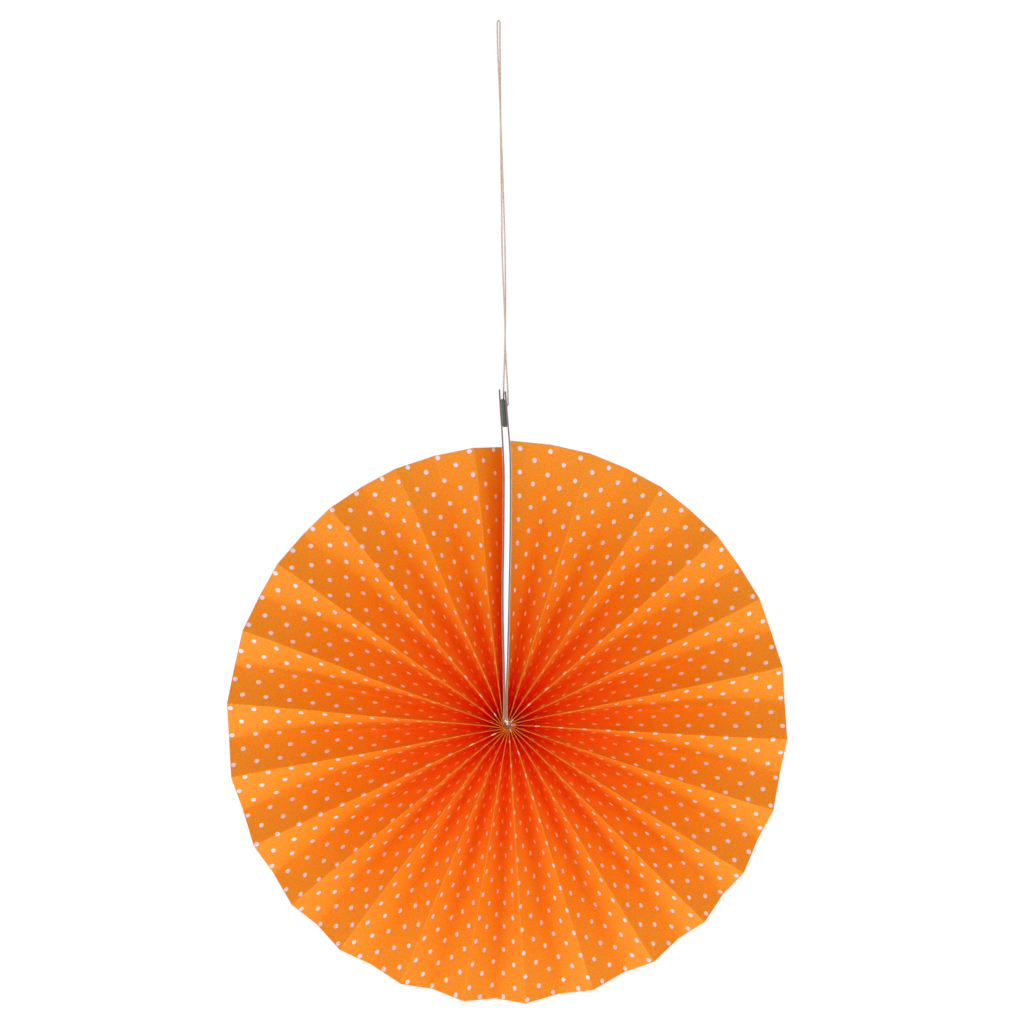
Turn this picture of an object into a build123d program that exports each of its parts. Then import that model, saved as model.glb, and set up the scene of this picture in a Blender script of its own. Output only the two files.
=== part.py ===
from build123d import *
import os
import math

# ---------------------------------------------------------------------------
# Paper fan rosette on a hanging cord. Millimetres, +Z up, the face of the fan
# looks along -Y. The origin is the inside of the top of the hanging loop, where
# a hook would bear. Everything is first laid out about the centre of the disc,
# then moved by HUB.
# ---------------------------------------------------------------------------

# --- driving dimensions ----------------------------------------------------
HUB = (6.2, 0.0, -501.4)      # centre of the disc, seen from the origin

# the folded sheet
PLEAT_W = 30.0                # width of one panel, fold to fold
PAPER_T = 0.20                # thickness of the paper
R_INNER = 2.8                 # inner edge of the sheet, round the small centre opening
CROWD = 110.0                 # degrees over which the pleats make room for the cards
CROWD_IN = 12.0               # radius within which all of them share it evenly

# direction of each mountain fold at the rim, degrees clockwise from the top,
# and how far its line passes beside the centre (mm, clockwise)
MOUNTAINS = [
    (1.1, 0.0), (17.3, -0.1), (33.2, -0.4), (48.3, -0.9), (63.7, -0.3),
    (78.3, -0.7), (93.1, -0.7), (107.9, 0.1), (122.1, -0.1), (135.0, -1.3),
    (148.3, -1.8), (162.1, -2.2), (176.2, -0.3), (189.0, 0.0), (202.3, 0.2),
    (216.6, 1.1), (230.1, -0.2), (244.4, -0.7), (259.1, 0.0), (274.2, 0.3),
    (289.4, -0.1), (304.8, 1.1), (320.4, 0.9), (336.1, 2.2), (352.8, -0.7),
]
LAST_VALLEY = 358.6           # the last valley fold runs down the left-hand card

# rim radius, by direction (degrees clockwise from the top): the cut is not quite true to the gathered centre
RIM = [
    (0, 201.8), (30, 201.4), (60, 200.7), (90, 199.4), (120, 198.2), (150, 197.9), (180, 198.4),
    (210, 199.2), (240, 199.7), (270, 200.0), (300, 199.7), (330, 198.9), (360, 198.1),
]

# the two card strips, glued to the two end panels
CARD_T = 1.1                  # thickness of the grey board
CARD_DEPTH = 30.0             # width of a strip, the same as a panel
CARD_BOTTOM = 4.0             # lower ends, just above the centre opening
CARD_TOP_LEFT = 238.0
CARD_TOP_RIGHT = 236.6
# centre line of each strip: (height, sideways place); they bow apart and meet at the centre
CARD_LEFT_LINE = [(4.0, -1.93), (14.0, -1.93), (25.0, -1.95), (45.0, -2.36), (73.0, -3.00), (101.5, -3.05),
                  (129.5, -2.58), (158.0, -2.38), (180.0, -2.32), (195.5, -3.00), (208.5, -3.70),
                  (221.0, -4.65), (238.0, -5.55)]
CARD_RIGHT_LINE = [(4.0, -0.74), (14.0, -0.74), (25.0, -0.68), (45.0, 0.22), (73.0, 0.86), (101.5, 1.50),
                   (129.5, 2.05), (158.0, 2.34), (180.0, 2.26), (196.0, 1.86), (204.5, 1.22),
                   (216.0, 0.30), (226.0, -0.47), (236.6, -1.40)]
GLUE = 0.12                   # glue line between card and paper

# hole for the cord, through the right-hand strip
HOLE_Z = 226.6
HOLE_D = 3.6

# pad that joins the tops of the strips
PAD_BOTTOM = 210.8
PAD_TOP = 230.6
PAD_FRONT = -14.0             # set back 1 mm from the front edges of the strips
PAD_BACK = -4.0

# hanging cord
CORD_D = 1.2

# thread that gathers the inner edges
THREAD_D = 0.6
THREAD_RING_R = 2.45

os.makedirs("parts", exist_ok=True)


# --- helpers ---------------------------------------------------------------
def curve_x(line, z):
    """Sideways place of a strip's centre line at height z (Catmull-Rom through its points)."""
    if z <= line[0][0]:
        return line[0][1]
    if z >= line[-1][0]:
        return line[-1][1]
    for i in range(len(line) - 1):
        z0, x0 = line[i]
        z1, x1 = line[i + 1]
        if z0 <= z <= z1:
            def slope(j):
                a = line[max(j - 1, 0)]
                b = line[min(j + 1, len(line) - 1)]
                return (b[1] - a[1]) / (b[0] - a[0])
            h = z1 - z0
            u = (z - z0) / h
            m0, m1 = slope(i) * h, slope(i + 1) * h
            return ((2 * u**3 - 3 * u**2 + 1) * x0 + (u**3 - 2 * u**2 + u) * m0
                    + (-2 * u**3 + 3 * u**2) * x1 + (u**3 - u**2) * m1)


def place(shape):
    return Location(HUB) * shape


# --- card strips -----------------------------------------------------------
def strip_edge(line, offset, z_low, z_high, n=27):
    zs = [z_low + (z_high - z_low) * i / (n - 1) for i in range(n)]
    return [(curve_x(line, z) + offset, 0.0, z) for z in zs]


def strip(line, z_low, z_high):
    left = strip_edge(line, -CARD_T / 2, z_low, z_high)
    right = strip_edge(line, CARD_T / 2, z_low, z_high)
    outline = Wire([
        Spline(*left).edge(),
        Line(left[-1], right[-1]).edge(),
        Spline(*reversed(right)).edge(),
        Line(right[0], left[0]).edge(),
    ])
    face = Face(outline)
    return Pos(0, -CARD_DEPTH / 2, 0) * extrude(face, amount=CARD_DEPTH, dir=(0, 1, 0))


card_left = strip(CARD_LEFT_LINE, CARD_BOTTOM, CARD_TOP_LEFT)
card_right = strip(CARD_RIGHT_LINE, CARD_BOTTOM, CARD_TOP_RIGHT)
hole = Pos(curve_x(CARD_RIGHT_LINE, HOLE_Z), 0, HOLE_Z) * Rot(0, 90, 0) * Cylinder(HOLE_D / 2, 6 * CARD_T)
card_right = card_right - hole

# --- closing pad: fills the gap between the strips, face to face with both -----
pad_left = strip_edge(CARD_LEFT_LINE, CARD_T / 2, PAD_BOTTOM, PAD_TOP, 5)
pad_right = strip_edge(CARD_RIGHT_LINE, -CARD_T / 2, PAD_BOTTOM, PAD_TOP, 5)
pad_outline = Wire([
    Spline(*pad_left).edge(),
    Line(pad_left[-1], pad_right[-1]).edge(),
    Spline(*reversed(pad_right)).edge(),
    Line(pad_right[0], pad_left[0]).edge(),
])
pad = Pos(0, PAD_FRONT, 0) * extrude(Face(pad_outline), amount=PAD_BACK - PAD_FRONT, dir=(0, 1, 0))
pad = pad - card_left - card_right

# --- pleated paper -----------------------------------------------------------
# Folds are numbered along the strip. Fold 0 is the free edge behind, on the
# right-hand card; odd folds are mountains (towards -Y), even folds valleys;
# fold 51 is the free edge in front, on the left-hand card.
N_FOLDS = 52
folds = [None] * N_FOLDS
for j, (angle, beside) in enumerate(MOUNTAINS):
    folds[2 * j + 1] = (angle, beside)
for k in range(2, 49, 2):
    folds[k] = ((folds[k - 1][0] + folds[k + 1][0]) / 2, (folds[k - 1][1] + folds[k + 1][1]) / 2)
folds[50] = (LAST_VALLEY, MOUNTAINS[-1][1])
T0, T1 = MOUNTAINS[0][0], LAST_VALLEY

STATIONS = [R_INNER, 3.6, 4.8, 6.7, 9.5, 14.0, 21.0, 32.0, 48.0, 68.0, 92.0, 118.0, 145.0, 168.0, 182.0, 190.0, 195.6]   # and the rim


def rim_radius(k):
    a = T0 if k == 0 else T1 if k == 51 else folds[k][0]
    for (a0, r0), (a1, r1) in zip(RIM, RIM[1:]):
        if a0 <= a <= a1:
            return r0 + (r1 - r0) * (a - a0) / (a1 - a0)


def card_face_right(z):
    return curve_x(CARD_RIGHT_LINE, z) + CARD_T / 2 + GLUE


def card_face_left(z):
    return curve_x(CARD_LEFT_LINE, z) - CARD_T / 2 - GLUE


def beside_card(face, r):
    """Direction (degrees) of the point at radius r on a card's outer face."""
    z = max(r, 4.7)
    for _ in range(6):
        x = face(z)
        z = math.sqrt(max(max(r, 4.7) ** 2 - x * x, 1.0))
    return math.degrees(math.atan2(face(z), z))


def fold_angle(k, r):
    angle, beside = folds[k]
    rim = rim_radius(k)
    # lines that pass beside the centre, easing off where the pleats bunch
    lean = beside * (1 - r / rim) * r / (r * r + 18.0 ** 2)
    push_r = beside_card(lambda z: card_face_right(z) + PAPER_T, r) - T0
    push_l = beside_card(lambda z: card_face_left(z) - PAPER_T, r) + 360 - T1
    even = math.exp(-max(r - R_INNER, 0.0) / CROWD_IN)
    along = (angle - T0) / (T1 - T0)
    share_r = even * (1 - along) + (1 - even) * math.exp(-(angle - T0) / CROWD)
    share_l = even * along + (1 - even) * math.exp(-(T1 - angle) / CROWD)
    return angle + math.degrees(lean) + push_r * share_r + push_l * share_l


def half_depth(k, r):
    """Half the depth of the pleats where panels of full width stand at radius r."""
    k = min(max(k, 1), 50)
    lo, hi = max(k - 1, 1), min(k + 1, 50)
    step = math.radians(fold_angle(hi, r) - fold_angle(lo, r)) / (hi - lo) * r
    return 0.5 * math.sqrt(max(PLEAT_W ** 2 - step ** 2, 1.0)), step


def fold_place(k, r):
    """The fold's line on the middle of the paper, at radius r."""
    h, step = half_depth(k, r)
    mountain = k % 2 == 1
    y = -h if mountain else h
    # beside the right-hand card the pleats stand forward with its front edge
    y -= (CARD_DEPTH / 2 - half_depth(1, r)[0]) * math.exp(-(k - 1) / 3.5)
    if k == 1:
        y = -CARD_DEPTH / 2
    if k == 50:
        y = CARD_DEPTH / 2
    a = math.radians(fold_angle(k, r))
    return (r * math.sin(a), y, r * math.cos(a)), step


def section(k):
    """Closed outline of the paper where fold k runs: printed side, rim, back, inner end."""
    radii = STATIONS + [rim_radius(k)]
    side_a, side_b = [], []
    for r in radii:
        if k == 0:          # free edge, flat on the right-hand card
            z = fold_place(1, r)[0][2]
            x = card_face_right(z)
            side_a.append((x, CARD_DEPTH / 2, z))
            side_b.append((x + PAPER_T, CARD_DEPTH / 2, z))
            continue
        if k == 51:         # free edge, flat on the left-hand card
            z = fold_place(50, r)[0][2]
            x = min(card_face_left(z), fold_place(50, r)[0][0] + PAPER_T) if r < 4.7 else card_face_left(z)
            side_a.append((x - PAPER_T, -CARD_DEPTH / 2, z))
            side_b.append((x, -CARD_DEPTH / 2, z))
            continue
        (x, y, z), step = fold_place(k, r)
        inner = min(PAPER_T * (PLEAT_W / step - 0.5), 0.85 * PLEAT_W)     # depth of the inner corner of the fold
        outer = PAPER_T / 2
        if k == 1:
            x = card_face_right(z)
            side_a.append((x, y - outer, z))
            side_b.append((x + PAPER_T, y + inner, z))
        elif k == 50:
            side_a.append((x, y - inner, z))
            side_b.append((x + PAPER_T, y, z))
        elif k % 2 == 1:
            side_a.append((x, y - outer, z))
            side_b.append((x, y + inner, z))
        else:
            side_a.append((x, y - inner, z))
            side_b.append((x, y + outer, z))
    return Wire.make_polygon(side_a + side_b[::-1], close=True)


paper = Solid.make_loft([section(k) for k in range(N_FOLDS)], ruled=True)

# --- hanging cord --------------------------------------------------------------
# One length of cord: out of the knot, up between the strips, over the top of the
# loop, down outside the right-hand strip and in through its hole to the knot again.
TOP_Z = 502.0
ROUTE = [
    (-2.64, 0.00, 228.4), (-2.64, 0.00, 233.5), (-2.66, 0.05, 242.0), (-1.98, 0.42, 258.0),
    (-1.50, 0.85, 281.0), (-1.20, 0.62, 311.0), (-1.72, 0.05, 344.0), (-2.80, -0.40, 377.0),
    (-3.80, -0.72, 406.0), (-4.92, -0.86, 432.0), (-5.62, -0.94, 454.0), (-6.48, -0.95, 471.0),
    (-6.92, -0.94, 484.0), (-7.12, -0.95, 493.0), (-7.12, -0.95, 498.0), (-7.13, -0.96, TOP_Z),
    (-5.27, 0.96, TOP_Z), (-5.26, 0.95, 497.8), (-5.24, 0.94, 492.0), (-5.20, 0.95, 482.0),
    (-5.14, 0.94, 467.0), (-4.92, 0.90, 449.0), (-4.80, 0.86, 426.0), (-4.42, 0.62, 398.0),
    (-4.05, 0.30, 368.0), (-3.80, -0.10, 338.0), (-2.70, -0.60, 310.0), (-1.62, -0.86, 286.0),
    (-1.38, -0.74, 266.0), (-0.48, -0.34, 252.0), (0.22, -0.06, 242.5), (0.72, 0.00, 236.0),
    (0.86, 0.00, 231.2), (1.30, 0.00, HOLE_Z), (-1.37, 0.00, HOLE_Z),
]


def corner_radii(points):
    radii = []
    for a, b, c in zip(points, points[1:], points[2:]):
        u, v = Vector(*b) - Vector(*a), Vector(*c) - Vector(*b)
        turn = math.radians(u.get_angle(v))
        radii.append(0.45 * min(u.length, v.length) / math.tan(turn / 2))
    return radii


radii = corner_radii(ROUTE)
path = FilletPolyline(*ROUTE, radius=radii).wire()
end = Plane(origin=ROUTE[0], z_dir=Vector(*ROUTE[1]) - Vector(*ROUTE[0]))
cord = sweep(end * Circle(CORD_D / 2), path=path)
runs = [(Vector(*b) - Vector(*a)).length for a, b in zip(ROUTE, ROUTE[1:])]
print("cord runs:", [round(x, 1) for x in runs])
print("cord radii:", [round(x, 1) for x in radii])
print("cord length:", round(path.length, 1), "volume", round(cord.volume, 2),
      "section times length", round(math.pi * CORD_D ** 2 / 4 * path.length, 2))

# --- knot: a tight little ball between the strips, behind the pad ---------------
KNOT = (-2.65, 0.0, HOLE_Z)
knot = Sphere(1.0)
knot = scale(knot, by=(1.55, 2.0, 2.2))
knot = Pos(*KNOT) * knot
knot = knot & (Pos(KNOT[0], 0, KNOT[2]) * Box(2 * 1.28, 4.2, 2 * 1.8))

# --- binding thread: ring inside the centre opening, and its tail in front -------
ring = revolve(Pos(THREAD_RING_R, 0, 0) * Circle(THREAD_D / 2), axis=Axis.Y)
tail_pts = [(-1.73, 0.0, 1.73), (-1.55, -6.0, 1.45), (-0.80, -11.5, 0.55), (0.0, -14.60, -0.35),
            (0.05, -15.75, -0.42), (-0.60, -16.15, 0.60), (-1.70, -15.95, 2.35)]
tail_path = FilletPolyline(*tail_pts, radius=corner_radii(tail_pts)).wire()
tail_start = Plane(origin=tail_pts[0], z_dir=Vector(*tail_pts[1]) - Vector(*tail_pts[0]))
tail = sweep(tail_start * Circle(THREAD_D / 2), path=tail_path)
thread = ring + tail

# --- write the pieces -------------------------------------------------------------
pieces = {
    "pleated_paper": paper,
    "card_strip_right": card_right,
    "card_strip_left": card_left,
    "closing_pad": pad,
    "hanging_cord": cord,
    "cord_knot": knot,
    "binding_thread": thread,
}
for name, shape in pieces.items():
    moved = place(shape)
    solids = moved.solids()
    print(name, "solids", len(solids), "volume", round(sum(s.volume for s in solids), 1))
    export_step(solids[0] if len(solids) == 1 else Compound(children=list(solids)), f"parts/{name}.step")
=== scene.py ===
import math
import random

import bpy
import bmesh
import numpy as np
from mathutils import Matrix, Vector


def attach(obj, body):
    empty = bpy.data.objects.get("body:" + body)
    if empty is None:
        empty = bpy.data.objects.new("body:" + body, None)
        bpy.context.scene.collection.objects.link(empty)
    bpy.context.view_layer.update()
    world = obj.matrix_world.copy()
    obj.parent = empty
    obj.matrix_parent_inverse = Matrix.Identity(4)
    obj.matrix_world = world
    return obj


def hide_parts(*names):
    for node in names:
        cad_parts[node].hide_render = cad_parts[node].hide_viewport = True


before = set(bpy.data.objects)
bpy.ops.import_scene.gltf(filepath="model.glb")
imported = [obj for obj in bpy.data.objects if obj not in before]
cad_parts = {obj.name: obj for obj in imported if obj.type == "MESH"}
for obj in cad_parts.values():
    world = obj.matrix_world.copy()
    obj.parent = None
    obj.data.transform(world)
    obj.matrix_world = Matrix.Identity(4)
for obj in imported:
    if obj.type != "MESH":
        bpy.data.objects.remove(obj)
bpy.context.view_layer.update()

MM = 0.001
HUB = (6.2, 0.0, -501.4)          # centre of the disc, mm from the inside top of the hanging loop
scene = bpy.context.scene


def to_frame(p):
    """mm about the centre of the disc -> metres in the part's frame"""
    return ((p[0] + HUB[0]) * MM, (p[1] + HUB[1]) * MM, (p[2] + HUB[2]) * MM)


def mesh_object(name, verts, faces, smooth=True, sharp=None):
    mesh = bpy.data.meshes.new(name)
    mesh.from_pydata([tuple(v) for v in verts], [], [tuple(f) for f in faces])
    mesh.validate()
    if smooth:
        mesh.polygons.foreach_set("use_smooth", [True] * len(mesh.polygons))
        if sharp is not None:
            mesh.set_sharp_from_angle(angle=math.radians(sharp))
    mesh.update()
    obj = bpy.data.objects.new(name, mesh)
    scene.collection.objects.link(obj)
    return obj


# =============================================================================
# camera
# =============================================================================
cam_data = bpy.data.cameras.new("camera")
cam_data.sensor_width = 36.0
cam_data.lens = 81.56
cam_data.clip_start = 0.05
cam_data.clip_end = 50.0
camera = bpy.data.objects.new("camera", cam_data)
camera.location = ((HUB[0] + 3.36) * MM, -1.657, (HUB[2] + 151.2) * MM)
camera.rotation_euler = (math.radians(90), 0, 0)
scene.collection.objects.link(camera)
scene.camera = camera


# =============================================================================
# node helpers
# =============================================================================
class Nodes:
    def __init__(self, name):
        self.mat = bpy.data.materials.new(name)
        self.mat.use_nodes = True
        self.t = self.mat.node_tree
        self.t.nodes.clear()
        self.out = self.t.nodes.new("ShaderNodeOutputMaterial")
        self.bsdf = self.t.nodes.new("ShaderNodeBsdfPrincipled")
        self.t.links.new(self.bsdf.outputs["BSDF"], self.out.inputs["Surface"])

    def link(self, a, b):
        self.t.links.new(a, b)

    def put(self, socket, value):
        if isinstance(value, bpy.types.NodeSocket):
            self.link(value, socket)
        elif value is not None:
            socket.default_value = value

    def math(self, op, a, b=None, c=None, clamp=False):
        n = self.t.nodes.new("ShaderNodeMath")
        n.operation = op
        n.use_clamp = clamp
        for i, v in enumerate((a, b, c)):
            if v is not None:
                self.put(n.inputs[i], v)
        return n.outputs[0]

    def mix(self, fac, a, b, blend="MIX"):
        n = self.t.nodes.new("ShaderNodeMix")
        n.data_type = "RGBA"
        n.blend_type = blend
        self.put(n.inputs[0], fac)
        for s, v in ((n.inputs[6], a), (n.inputs[7], b)):
            if isinstance(v, tuple) and len(v) == 3:
                v = (*v, 1.0)
            self.put(s, v)
        return n.outputs[2]

    def ramp(self, value, lo, hi, out_lo=0.0, out_hi=1.0, smooth=True):
        n = self.t.nodes.new("ShaderNodeMapRange")
        n.interpolation_type = "SMOOTHSTEP" if smooth else "LINEAR"
        self.put(n.inputs[0], value)
        n.inputs[1].default_value, n.inputs[2].default_value = lo, hi
        n.inputs[3].default_value, n.inputs[4].default_value = out_lo, out_hi
        return n.outputs[0]

    def noise(self, vector, scale, detail=2.0, rough=0.5, distortion=0.0):
        n = self.t.nodes.new("ShaderNodeTexNoise")
        self.put(n.inputs["Vector"], vector)
        n.inputs["Scale"].default_value = scale
        n.inputs["Detail"].default_value = detail
        n.inputs["Roughness"].default_value = rough
        n.inputs["Distortion"].default_value = distortion
        return n.outputs["Fac"]

    def scaled(self, vector, xyz):
        n = self.t.nodes.new("ShaderNodeMapping")
        self.put(n.inputs["Vector"], vector)
        n.inputs["Scale"].default_value = xyz
        return n.outputs["Vector"]

    def bump(self, height, strength, distance, normal=None):
        n = self.t.nodes.new("ShaderNodeBump")
        n.inputs["Strength"].default_value = strength
        n.inputs["Distance"].default_value = distance
        self.put(n.inputs["Height"], height)
        if normal is not None:
            self.put(n.inputs["Normal"], normal)
        return n.outputs["Normal"]

    def uv(self, name):
        n = self.t.nodes.new("ShaderNodeUVMap")
        n.uv_map = name
        return n.outputs["UV"]

    def split(self, vector):
        n = self.t.nodes.new("ShaderNodeSeparateXYZ")
        self.put(n.inputs[0], vector)
        return n.outputs

    def join(self, x, y, z=0.0):
        n = self.t.nodes.new("ShaderNodeCombineXYZ")
        for i, v in enumerate((x, y, z)):
            self.put(n.inputs[i], v)
        return n.outputs[0]

    def object_coords(self):
        n = self.t.nodes.new("ShaderNodeTexCoord")
        return n.outputs["Object"]

    def normal(self):
        n = self.t.nodes.new("ShaderNodeNewGeometry")
        return n.outputs["Normal"]

    def finish(self, **sockets):
        for name, value in sockets.items():
            if isinstance(value, tuple) and len(value) == 3:
                value = (*value, 1.0)
            self.put(self.bsdf.inputs[name.replace("_", " ")], value)
        return self.mat


# =============================================================================
# hanging cord: one length, through the hole, up, over and down again
# =============================================================================
ROUTE = [
    (-2.64, 0.00, 228.4), (-2.60, -1.40, 233.5), (-2.62, -3.40, 242.0), (-1.98, -1.60, 258.0),
    (-1.50, 0.55, 281.0), (-1.20, 0.62, 311.0), (-1.72, 0.05, 344.0), (-2.80, -0.40, 377.0),
    (-3.80, -0.72, 406.0), (-4.92, -0.86, 432.0), (-5.62, -0.94, 454.0), (-6.48, -0.95, 471.0),
    (-6.92, -0.94, 484.0), (-7.12, -0.95, 493.0), (-7.12, -0.95, 498.0), (-7.13, -0.96, 502.0),
    (-5.27, 0.96, 502.0), (-5.26, 0.95, 497.8), (-5.24, 0.94, 492.0), (-5.20, 0.95, 482.0),
    (-5.14, 0.94, 467.0), (-4.92, 0.90, 449.0), (-4.80, 0.86, 426.0), (-4.42, 0.62, 398.0),
    (-4.05, 0.30, 368.0), (-3.80, -0.10, 338.0), (-2.70, -0.60, 310.0), (-1.62, -0.86, 286.0),
    (-1.38, -0.74, 266.0), (-0.52, -0.34, 252.0), (0.10, -0.06, 242.5), (0.44, 0.00, 236.0),
    (0.44, 0.00, 231.2), (0.86, 0.00, 226.8), (-1.37, 0.00, 226.6),
]
CORD_D = 1.2


def spline_points(route, resolution=10):
    """Points (mm) read off the smooth NURBS line through a route."""
    curve = bpy.data.curves.new("route", "CURVE")
    curve.dimensions = "3D"
    spline = curve.splines.new("NURBS")
    spline.points.add(len(route) - 1)
    for p, q in zip(spline.points, route):
        p.co = (*[c for c in q], 1.0)
    spline.order_u = 3
    spline.use_endpoint_u = True
    spline.resolution_u = resolution
    obj = bpy.data.objects.new("route", curve)
    scene.collection.objects.link(obj)
    bpy.context.view_layer.update()
    mesh = bpy.data.meshes.new_from_object(obj.evaluated_get(bpy.context.evaluated_depsgraph_get()))
    pts = np.array([v.co[:] for v in mesh.vertices])
    bpy.data.objects.remove(obj)
    bpy.data.curves.remove(curve)
    bpy.data.meshes.remove(mesh)
    return pts


def resample(pts, spacing):
    seg = np.linalg.norm(np.diff(pts, axis=0), axis=1)
    s = np.concatenate([[0], np.cumsum(seg)])
    n = max(int(round(s[-1] / spacing)), 2)
    t = np.linspace(0, s[-1], n + 1)
    return np.stack([np.interp(t, s, pts[:, i]) for i in range(3)], axis=1), t


def frames_along(pts):
    """Tangent and two side directions that don't twist, at each point."""
    tan = np.gradient(pts, axis=0)
    tan /= np.linalg.norm(tan, axis=1)[:, None]
    u = np.zeros_like(pts)
    a = np.cross(tan[0], (0.0, 1.0, 0.0))
    u[0] = a / np.linalg.norm(a)
    for i in range(1, len(pts)):
        v = u[i - 1] - tan[i] * np.dot(u[i - 1], tan[i])
        u[i] = v / np.linalg.norm(v)
    return tan, u, np.cross(tan, u)


def tube(verts, faces, uvs, centre, u, v, radii, sides, along, strand):
    """Adds a closed tube to verts and faces."""
    base = len(verts)
    n = len(centre)
    for i in range(n):
        for j in range(sides):
            a = 2 * math.pi * j / sides
            verts.append(centre[i] + radii[i] * (math.cos(a) * u[i] + math.sin(a) * v[i]))
            uvs.append((along[i], strand + j / sides))
    for i in range(n - 1):
        for j in range(sides):
            k = (j + 1) % sides
            faces.append((base + i * sides + j, base + i * sides + k,
                          base + (i + 1) * sides + k, base + (i + 1) * sides + j))
    faces.append(tuple(base + j for j in reversed(range(sides))))
    faces.append(tuple(base + (n - 1) * sides + j for j in range(sides)))


def twisted(name, route_pts, diameter, plies, pitch, spacing, sides, seed, fuzz=0, loops=False):
    """A laid cord: plies wound round a line, with a few loose fibres."""
    rng = np.random.default_rng(seed)
    pts, along = resample(route_pts, spacing)
    tan, u, v = frames_along(pts)
    ply_r = diameter / 2 * {2: 0.5, 3: 0.54, 4: 0.5}[plies]
    orbit = diameter / 2 - ply_r
    verts, faces, uvs = [], [], []
    wander = np.cumsum(rng.normal(0, 0.02, len(pts)))
    for p in range(plies):
        phase = 2 * math.pi * (along / pitch + p / plies) + wander
        centre = pts + orbit * (np.cos(phase)[:, None] * u + np.sin(phase)[:, None] * v)
        side = np.gradient(centre, axis=0)
        side /= np.linalg.norm(side, axis=1)[:, None]
        radial = (centre - pts) / orbit
        radial -= side * np.sum(radial * side, axis=1)[:, None]
        radial /= np.linalg.norm(radial, axis=1)[:, None]
        other = np.cross(side, radial)
        swell = ply_r * (1 + 0.05 * np.sin(along * 0.9 + 2.1 * p) * np.sin(along * 0.23 + p))
        tube(verts, faces, uvs, centre, radial, other, swell, sides, along, p * 2.0)
    for _ in range(fuzz):
        i = int(rng.integers(3, len(pts) - 4))
        a = rng.uniform(0, 2 * math.pi)
        out = math.cos(a) * u[i] + math.sin(a) * v[i]
        start = pts[i] + out * diameter * 0.46
        length = rng.uniform(0.4, 1.1)
        way = out * rng.uniform(0.15, 0.5) + tan[i] * rng.choice([-1, 1]) * rng.uniform(0.6, 1.0)
        way /= np.linalg.norm(way)
        bend = np.cross(way, out) * rng.uniform(-0.3, 0.3)
        line = np.array([start + way * length * s + (bend + out * 0.1) * length * s * s for s in np.linspace(0, 1, 5)])
        t2, u2, v2 = frames_along(line)
        tube(verts, faces, uvs, line, u2, v2, np.linspace(0.018, 0.008, 5), 3, np.full(5, along[i]), 9.0)
    verts = [to_frame(p) for p in verts]
    obj = mesh_object(name, verts, faces, smooth=True, sharp=60)
    layer = obj.data.uv_layers.new(name="along")
    for loop in obj.data.loops:
        layer.data[loop.index].uv = (uvs[loop.vertex_index][0] * 0.1, uvs[loop.vertex_index][1])
    return obj, pts


def cord_material(name, dark, light, tint, rough):
    n = Nodes(name)
    obj = n.object_coords()
    fibre = n.noise(n.scaled(obj, (1.0, 1.0, 0.35)), 5200.0, 3.0, 0.6)
    slow = n.noise(obj, 60.0, 2.0, 0.5)
    col = n.mix(n.ramp(fibre, 0.32, 0.68), dark, light)
    col = n.mix(n.ramp(slow, 0.35, 0.75, 0.0, 0.55), col, tint)
    normal = n.bump(fibre, 0.5, 0.00005)
    n.bsdf.inputs["Sheen Weight"].default_value = 0.35
    n.bsdf.inputs["Sheen Roughness"].default_value = 0.5
    return n.finish(Base_Color=col, Roughness=rough, Normal=normal)


cord_mat = cord_material("cord_cotton", (0.77, 0.54, 0.35), (0.92, 0.71, 0.49), (0.87, 0.63, 0.46), 0.85)
thread_mat = cord_material("thread_white", (0.90, 0.86, 0.70), (0.99, 0.96, 0.84), (0.94, 0.90, 0.76), 0.7)


def painted_shade_thread_material():
    """Thread that is brown in the middle of the hole and orange where it meets the paper: painted shade inside the hole
    and a painted orange reflection of the paper near its edge.
    """
    n = Nodes("thread_painted_shade")
    obj = n.object_coords()
    x, _, z = n.split(obj)
    dx = n.math("SUBTRACT", x, HUB[0] * MM)
    dz = n.math("SUBTRACT", z, HUB[2] * MM)
    out = n.math("SQRT", n.math("ADD", n.math("MULTIPLY", dx, dx), n.math("MULTIPLY", dz, dz)))
    fibre = n.noise(n.scaled(obj, (1.0, 1.0, 0.35)), 5200.0, 3.0, 0.6)
    # dark brown inner colour is painted shade in the hole; orange outer colour is painted reflected light from the
    # orange paper
    inner = n.mix(n.ramp(fibre, 0.32, 0.68), (0.28, 0.075, 0.022), (0.56, 0.19, 0.070))
    outer = n.mix(n.ramp(fibre, 0.32, 0.68), (0.80, 0.24, 0.045), (0.95, 0.40, 0.100))
    col = n.mix(n.ramp(out, 1.1 * MM, 1.9 * MM), inner, outer)
    return n.finish(Base_Color=col, Roughness=0.9, Normal=n.bump(fibre, 0.5, 0.00005))


painted_shade_thread_mat = painted_shade_thread_material()

cord_line = spline_points(ROUTE)
cord, cord_path = twisted("cord_string", cord_line, CORD_D * 1.1, 3, 4.2, 0.42, 7, 11, fuzz=260)
cord.data.materials.append(cord_mat)


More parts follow.
